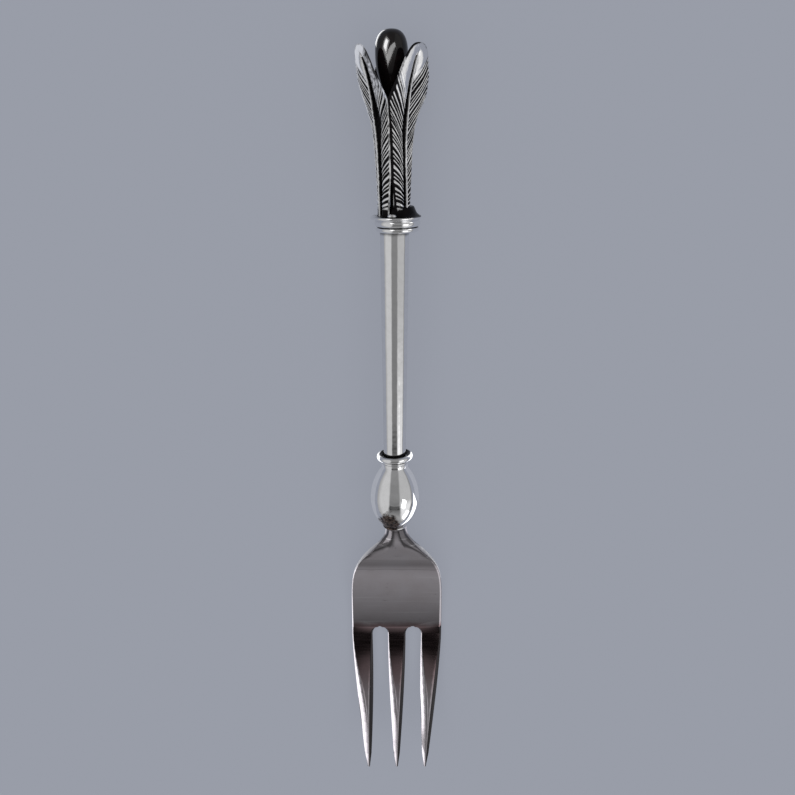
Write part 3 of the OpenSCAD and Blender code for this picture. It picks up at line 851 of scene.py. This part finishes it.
class Carving:
    """The face of one feather: t runs up from its foot, u across it and w out from the axis.

    q is the share of the length, from 0 at the foot to 1 at the tip, and k the share of the
    width, from 0 at the spine to 1 at the edge. A side is -1 or 1.
    """

    ROWS_PER_BARB = 12
    SHARES = (0.08, 0.16, 0.24, 0.32, 0.4, 0.48, 0.55, 0.62, 0.7, 0.78, 0.86, 0.94, 1.0)
    FOOT_CORNER = 0.00065
    SHORT = 0.0026         # how far the spine ends below the tip
    VALLEY_ASIDE = 0.0003  # from the spine to the bottom of the valley
    BARB_SWELL = 0.00008   # how far a barb swells over the face
    BARB_REACH = 0.00004   # how much further one barb reaches than another

    def __init__(self, sizes, sector, node, seed):
        self.s, self.sector = sizes, sector
        self.lead, self.meeting = MEETING[node]
        chance = np.random.RandomState(seed)
        self.turn = chance.uniform(0, 6)
        self.height = chance.uniform(0.6, 1.0, (2, sizes.barbs + 2))
        self.reach = chance.uniform(-1.0, 1.0, (2, sizes.barbs + 2))

    def spine_w(self, t):
        return self.s.spine_out + self.s.flare * (t / self.s.tall) ** 2.1

    def tilt(self, t):
        """How steeply the vanes slope away from the spine."""
        tall = self.s.tall
        return mix(radians(25), radians(3), ease((t - 0.465 * tall) / (0.41 * tall)))

    def half(self, t):
        """Half width of the feather, kept to the sector between its neighbours."""
        s, edge = self.s, tan(self.sector)
        room = ((self.spine_w(t) * edge - s.gap / 2 / cos(self.sector))
                / (1 + np.tan(self.tilt(t)) * edge))
        widest = 0.68 * s.tall
        corner = 1 - np.sqrt(1 - (1 - np.clip(t / self.FOOT_CORNER, 0, 1)) ** 2)
        width = (mix(s.foot_half, s.vane_half, np.clip(t / widest, 0, 1) ** 1.5)
                 + self.FOOT_CORNER * corner)
        width = np.minimum(width, room)
        taper = 1 - 0.42 * ease((t - widest) / (s.tall - widest))
        tip = np.clip((t - 0.85 * s.tall) / (0.15 * s.tall), 0, 1)
        return width * taper * (1 - tip ** 2.7) ** (1 / 2.7)

    def face(self, t, u, k, flat=0.0):
        s = self.s
        swell = s.swell * np.sin(pi * k ** 1.15) * np.minimum(1, self.half(t) / s.foot_half)
        swell = swell * (1 - flat * ease((t / s.tall - 0.55) / 0.3))
        return self.spine_w(t) - np.tan(self.tilt(t)) * u + swell - s.valley * (1 - k)

    def at_spine(self, q):
        return (self.s.tall - self.SHORT) * q

    def at_edge(self, q):
        return self.s.tall * (1 - (1 - q) ** 1.6)

    def vane(self, side):
        return self.meeting if side == self.lead else OPEN

    def aside(self, q):
        """How far the spine sits nearer to the neighbour than the middle of the feather."""
        far = self.s.aside * ease((q - 0.1) / 0.5)
        return self.lead * np.minimum(far, 0.25 * self.half(self.at_edge(q)))

    def groove(self, q, side):
        """0 on the crest of a barb and 1 in the groove, with each barb a little different."""
        middle = 0.4 * self.at_spine(q) + 0.6 * self.at_edge(q)
        place = self.s.barbs * middle / (self.s.tall - 0.4 * self.SHORT)
        place = place + 0.2 * np.sin(1.7 * place + self.turn) * ease(q * 8) * ease((1 - q) * 8)
        index = np.clip(place.astype(int), 0, self.s.barbs)
        phase = place - np.floor(place)
        pair = 0 if side < 0 else 1
        height, reach = self.height[pair][index], self.reach[pair][index]
        crest = self.vane(side).crest + 0.14 * reach
        return np.clip(np.abs(2 * phase - 1) / crest, 0, 1) ** 1.8, height, reach

    def point(self, q, k, side, layer):
        """Place of a point as u, w and t, and how deep it lies in the carving."""
        apart = np.where(q >= 1, 0.0, 1.0)
        if layer == "front":
            return self.front(q, k, side, apart)
        if layer == "back":
            return self.back(q, k, side, apart)
        aside, up, dark = {"spine": (0.0, 0.00018, 0.0),
                           "shoulder": (0.00018, 0.00009, 0.15),
                           "valley": (self.VALLEY_ASIDE, -self.s.valley, 1.0)}[layer]
        t = self.at_spine(q)
        return (self.aside(q) + side * apart * aside, self.spine_w(t) + up, t), 0 * q + dark

    def front(self, q, k, side, apart):
        """The carved face between the valley and the edge."""
        s, vane = self.s, self.vane(side)
        t_edge = self.at_edge(q)
        t = mix(self.at_spine(q), t_edge, k)
        groove, height, reach = self.groove(q, side)

        # The barbs fade out in the plain tip and where the edge meets its neighbour.
        plain = ease((q - vane.plain) / 0.14)
        inside = (vane.seam >= 0) * ease((k - 0.88) / 0.05)
        meets = inside * (1 - ease((q - 0.6) / 0.08))
        fade = ease(q * 12) * (1 - plain) * (1 - meets)

        notch = (s.saw * groove - self.BARB_REACH * reach) * fade
        width = apart * (self.half(t_edge) - np.maximum(0, notch))
        u = np.maximum(width * k, apart * self.VALLEY_ASIDE * min(1, 2 * k))
        depth = s.saw / tan(self.sector) if k == 1 else s.barb_depth
        carve = depth * groove * height * ease(k * 5) * fade
        swell = self.BARB_SWELL * (1 - groove) * height * fade * exp(-((k - 0.58) / 0.12) ** 2)
        valley = 1 - ease((k - vane.valley) / (vane.valley + 0.03))
        closing = ease((q - 0.86) / 0.14)
        face = self.face(t, u, k, mix(vane.flat, 0.5, closing))
        face = face - valley * s.valley * (1 - ease(k * 1.5)) * (1 - closing)

        # The patina lies in the grooves, the valley and the seam and at the foot, and the edge is
        # darker around the tip.
        low = (1 - ease((t - 0.0006) / 0.0018)) * (1 - ease((k - 0.84) / 0.08))
        blots = plain * (vane.blots + 0.4 * inside * (1 - meets) * (1 - ease((q - 0.7) / 0.25)))
        dark = np.maximum(groove * fade, blots) * (1 - meets) + meets * (1 - height) * 1.4
        dark = np.maximum(dark + meets * max(0, vane.seam), valley)
        dark = np.clip(np.maximum(dark, low), 0, 1) * (1 - ease((q - 0.92) / 0.05))
        dark = np.maximum(dark, vane.rim * ease((k - 0.84) / 0.1) * ease((q - 0.74) / 0.1))
        return (side * u + self.aside(q) * (1 - k), face - carve + swell, t), dark

    def back(self, q, k, side, apart):
        """The plain inner face, and the lower corner of the edge where k is 1."""
        s = self.s
        t_edge = self.at_edge(q)
        t = mix(self.at_spine(q), t_edge, k)
        u = apart * (self.half(t_edge) - s.saw) * k
        face = self.face(t, u, k)
        if k == 1:
            return ((side * np.maximum(0, u - apart * s.edge * sin(self.sector)),
                     face - s.edge * mix(1, cos(self.sector), apart), t), 0 * q + 0.85)
        return (side * u, (self.spine_w(t) if k == 0 else face) - s.thick, t), 0 * q + 0.75


def feather(name, node, facing, sizes, handle, sector, seed, material):
    """Rolls a grid into a feather: its columns go across the face, round the edge and back."""
    carving = Carving(sizes, sector, node, seed)
    columns = ([(-1, "front", k) for k in reversed(carving.SHARES)]
               + [(-1, "valley", 0), (-1, "shoulder", 0), (1, "spine", 0), (1, "shoulder", 0),
                  (1, "valley", 0)]
               + [(1, "front", k) for k in carving.SHARES]
               + [(1, "back", k) for k in (1, 0.75, 0.5, 0.25, 0)]
               + [(-1, "back", k) for k in (0.25, 0.5, 0.75, 1)]
               + [(-1, "front", 1.0)])
    rows = sizes.barbs * carving.ROWS_PER_BARB
    deselect()
    bpy.ops.mesh.primitive_grid_add(x_subdivisions=len(columns) - 1, y_subdivisions=rows,
                                    size=1, location=(0, 0, 0))
    piece = named(name)
    mesh = piece.data
    flat = np.empty(len(mesh.vertices) * 3)
    mesh.vertices.foreach_get("co", flat)
    flat = flat.reshape(-1, 3)
    column = np.rint((flat[:, 0] + 0.5) * (len(columns) - 1)).astype(int)
    q = np.rint((flat[:, 1] + 0.5) * rows) / rows
    shaped, dark = np.zeros_like(flat), np.zeros(len(flat))
    for index, (side, layer, k) in enumerate(columns):
        here = column == index
        (u, w, t), depth = carving.point(q[here], k, side, layer)
        shaped[here] = np.stack([u, -w, t], axis=1)
        dark[here] = depth
    mesh.vertices.foreach_set("co", shaped.ravel())
    mesh.attributes.new("patina", "FLOAT", "POINT").data.foreach_set("value", dark)
    bpy.ops.object.mode_set(mode="EDIT")
    close_up()
    settle(piece, (0, 0, 0), (0, 0, facing))
    on_finial(piece, plate_top(handle), handle.lean)
    hand_over(piece, material, "feather_silver", node, edge=60)


class FISHFORK_OT_feathers(bpy.types.Operator):
    """Three carved feathers around the bud"""

    bl_idname = "fishfork.feathers"
    bl_label = "Feathers"

    def execute(self, context):
        scene = context.scene
        sizes, handle = scene.fishfork_feather, scene.fishfork_handle
        sector = (sizes.right - sizes.left) / 2
        material = carved_silver(scene.fishfork_finish)
        for seed, name, node, facing in (
                (3, "carved_feather_left", "feather_left", sizes.left),
                (4, "carved_feather_right", "feather_right", sizes.right),
                (5, "carved_feather_back", "feather_back", sizes.back)):
            feather(name, node, facing, sizes, handle, sector, seed, material)
        return {"FINISHED"}


def carved_silver(colours):
    """Carved silver: bright on the crests of the barbs and black in the grooves."""
    finish = new_finish("carved silver")
    here = finish.place()
    cloud = finish.noise(here, 1300.0, 4.0, 0.6)
    worn = finish.noise(here, 380.0, 2.0)
    deep = finish.attribute("patina") + (cloud - 0.5) * 0.7 + (worn - 0.5) * 0.5
    mask = deep.between(0.14, 0.6)
    tint = finish.blend(mask, dimmed(colours.silver, 0.95), colours.patina)
    rough = 0.12 + mask * 0.3 + cloud * 0.08
    normal = finish.bump(worn, 0.6, 0.00025)
    normal = finish.bump(finish.noise(here, 3200.0, 3.0), 0.25, 0.00004, normal)
    return finish.surface({"Base Color": tint, "Roughness": rough, "Normal": normal})


# Stage


class FISHFORK_OT_stage(bpy.types.Operator):
    """Floor, lights and camera"""

    bl_idname = "fishfork.stage"
    bl_label = "Stage"

    def execute(self, context):
        scene = context.scene
        studio = scene.fishfork_studio
        floor(studio)
        top_light(studio.top_light)
        scene.world = light_tent(studio)
        light_cards()
        scene.camera = camera(studio)
        scene.view_settings.view_transform = "Standard"
        return {"FINISHED"}


def floor(studio):
    """Matt floor that gives part of its own light, so that it looks even."""
    deselect()
    bpy.ops.mesh.primitive_plane_add(size=6, location=(0, 0, 0))
    plane = named("floor")
    finish = new_finish("floor")
    material = finish.surface({"Base Color": dimmed(studio.floor, 1 - studio.glow),
                               "Metallic": 0.0, "Roughness": 0.9, "Specular IOR Level": 0.0,
                               "Emission Color": studio.floor,
                               "Emission Strength": studio.glow})
    plane.data.materials.append(material)


def area_lamp(name, where, watts):
    """An area lamp that points down."""
    deselect()
    bpy.ops.object.light_add(type="AREA", location=where, rotation=(0, 0, 0))
    lamp = bpy.context.object
    lamp.name = name
    lamp.data.energy = watts
    return lamp


def top_light(watts):
    """Wide soft light above the fork. The polish doesn't show it."""
    lamp = area_lamp("top_light", (0.0, 0.0, 1.2), watts)
    lamp.data.size = 3.0
    lamp.visible_glossy = False


def light_tent(studio):
    """A light tent: bright sides, a dim top that darkens to a black gap in front, and a window."""
    room = Finish(bpy.data.worlds.new("light tent"))
    at = room.axes(room.add("ShaderNodeTexCoord")["Generated"])
    # How bright the top is, from the side of the tines (-1) to the side of the finial (1)
    levels = {-1.0: 0.26, -0.95: 0.28, -0.87: 0.36, -0.74: 0.26, -0.62: 0.17, -0.56: 0.1,
              -0.52: 0.02, -0.49: 0.004, -0.42: 0.004, -0.39: 0.1, -0.36: 0.2, -0.1: 0.25,
              0.02: 0.26, 0.1: 0.24, 0.3: 0.24, 0.45: 0.26, 1.0: 0.28}
    stops = [(0.5 + 0.5 * place, (level,) * 3) for place, level in levels.items()]
    top = room.add("ShaderNodeValToRGB", {"stops": stops}, {"Fac": at.y * 0.5 + 0.5})["Color"]
    left = (-at.x).between(0.34, 0.5)
    right = at.x.between(0.3, 0.48) * at.z.between(0.0, 0.2)
    forward = (-at.y).between(0.2, 0.42)
    window = (at.x * 0.64 + at.y * -0.4 + at.z * 0.655).between(0.995, 0.9995)
    sides = 0.65 + at.z.between(0.0, 0.4) * 0.35
    level = top * (1.0 - left) * (1.0 - right) + left * (studio.left_side * sides)
    level = level + right * (studio.right_side * (0.8 + forward * 0.6)) + window * studio.window
    above = at.z.between(-0.05, 0.02)
    level = level * above + (1.0 - above) * 0.3
    seen = room.add("ShaderNodeLightPath")["Is Camera Ray"]
    plain = room.blend(seen, (1, 1, 1), studio.floor)
    strength = level * (1.0 - seen) + seen
    back = room.add("ShaderNodeBackground", None, {"Color": plain, "Strength": strength})
    room.add("ShaderNodeOutputWorld", None, {"Surface": back["Background"]})
    return room.owner


def card(name, where, aim, size, level, *pieces):
    """A soft card that only some pieces show, as a glint in their polish."""
    lamp = area_lamp(name, where, level * pi * size[0] * size[1])
    lamp.rotation_euler = (Vector(aim) - Vector(where)).to_track_quat("-Z", "Y").to_euler()
    lamp.data.shape = "RECTANGLE"
    lamp.data.size, lamp.data.size_y = size
    lamp.visible_camera = lamp.visible_diffuse = False
    shown = bpy.data.collections.new(name)
    for piece in pieces:
        shown.objects.link(bpy.data.objects[piece])
    lamp.light_linking.receiver_collection = shown


def floor_card(name, x, y, size, level, *pieces):
    """A card that lies 0.3 mm over the floor and faces up."""
    card(name, (x, y, 0.0003), (x, y, 1.0), size, level, *pieces)


def light_cards():
    """The cards around the fork, from the bud to the tines and then for the feathers."""
    bud, tines = (-0.001, 0.0905, 0.011), (0.0, -0.078, 0.004)
    bulb, band = (0.0, -0.014, 0.0136), (0.0, 0.0542, 0.0125)
    collar = ("domed_band", "ring_plate", "feather_plate")
    left, right = "carved_feather_left", "carved_feather_right"
    card("bud_spot", (-0.186, 0.202, 0.222), bud, (0.16, 0.11), 24.0, "bud_body")
    card("bud_halo", (-0.184, 0.2, 0.219), bud, (0.25, 0.2), 5.0, "bud_body")
    card("bud_window", (-0.02, 0.13, 0.3), bud, (0.38, 0.08), 9.0, "bud_body")
    floor_card("bud_rim", -0.0095, 0.097, (0.01, 0.009), 3.2, "bud_body")
    card("bulb_window", (0.197, -0.122, 0.22), bulb, (0.1, 0.085), 4.0, "bulb_body")
    floor_card("bulb_rim", 0.042, -0.047, (0.055, 0.05), 1.6, "bulb_body")
    card("bulb_low", (0.188, -0.242, 0.083), bulb, (0.12, 0.09), 1.6, "bulb_body")
    floor_card("bulb_left", -0.022, -0.016, (0.03, 0.036), 0.1, "bulb_body")
    floor_card("bulb_right", 0.018, -0.005, (0.024, 0.03), 0.1, "bulb_body")
    card("bulb_fill", (0.0, -0.149, 0.277), bulb, (0.22, 0.057), 0.09, "bulb_body")
    floor_card("ring_left", -0.015, -0.008, (0.02, 0.024), 1.5, "thick_ring")
    floor_card("ring_right", 0.014, -0.003, (0.018, 0.03), 1.5, "thick_ring")
    card("band_left", (-0.133, 0.243, 0.202), band, (0.1, 0.12), 1.8, *collar)
    card("band_right", (0.204, 0.024, 0.228), band, (0.1, 0.14), 1.8, *collar, "thick_ring")
    card("band_back", (0.13, 0.2, 0.02), band, (0.14, 0.05), 1.6, *collar)
    floor_card("neck_left", -0.016, -0.028, (0.018, 0.03), 0.6, "head")
    floor_card("neck_right", 0.017, -0.028, (0.018, 0.03), 0.6, "head")
    card("tine_light", (-0.21, -0.17, 0.1), tines, (0.14, 0.12), 1.65, "head")
    card("feather_high", (0.0, 0.34, 0.26), bud, (0.4, 0.24), 0.42, left, right)
    card("feather_front", (-0.03, -0.08, 0.27), bud, (0.2, 0.14), 0.7, left, right)
    floor_card("feather_left", -0.03, 0.08, (0.044, 0.05), 0.35, left)
    card("feather_right", (0.08, 0.083, 0.04), bud, (0.09, 0.07), 0.35, right)


def camera(studio):
    """Camera above the middle of the fork, leaning towards the finial."""
    middle = Vector((0.00018, 0.0119, AXIS_Z))
    lean = studio.height_angle
    deselect()
    bpy.ops.object.camera_add(
        location=middle + Vector((0, sin(lean), cos(lean))) * studio.distance,
        rotation=(-lean, 0, 0))
    view = bpy.context.object
    view.name = "camera"
    view.data.sensor_width = 36
    view.data.lens = studio.focal
    view.data.clip_start = 0.01
    return view


class FISHFORK_PT_sidebar(bpy.types.Panel):
    """Lists the pieces of the fork"""

    bl_idname = "FISHFORK_PT_sidebar"
    bl_label = "Fish fork"
    bl_space_type = "VIEW_3D"
    bl_region_type = "UI"
    bl_category = "Fork"

    def draw(self, context):
        for operator in OPERATORS:
            self.layout.operator(operator.bl_idname)
        for group in GROUPS:
            box = self.layout.box()
            values = getattr(context.scene, GROUPS[group])
            for key in group.__annotations__:
                box.prop(values, key)


OPERATORS = (FISHFORK_OT_head, FISHFORK_OT_bulb, FISHFORK_OT_rings, FISHFORK_OT_tube,
             FISHFORK_OT_collar, FISHFORK_OT_bud, FISHFORK_OT_feathers, FISHFORK_OT_stage)
GROUPS = {FishForkHandle: "fishfork_handle", FishForkFeather: "fishfork_feather",
          FishForkFinish: "fishfork_finish", FishForkStudio: "fishfork_studio"}


def register():
    for group, name in GROUPS.items():
        bpy.utils.register_class(group)
        setattr(bpy.types.Scene, name, bpy.props.PointerProperty(type=group))
    for cls in (*OPERATORS, FISHFORK_PT_sidebar):
        bpy.utils.register_class(cls)


def unregister():
    for cls in (FISHFORK_PT_sidebar, *reversed(OPERATORS)):
        bpy.utils.unregister_class(cls)
    for group, name in GROUPS.items():
        delattr(bpy.types.Scene, name)
        bpy.utils.unregister_class(group)


def main():
    register()
    bpy.ops.fishfork.head()
    bpy.ops.fishfork.bulb()
    bpy.ops.fishfork.rings()
    bpy.ops.fishfork.tube()
    bpy.ops.fishfork.collar()
    bpy.ops.fishfork.bud()
    bpy.ops.fishfork.feathers()
    bpy.ops.fishfork.stage()


if __name__ == "__main__":
    main()
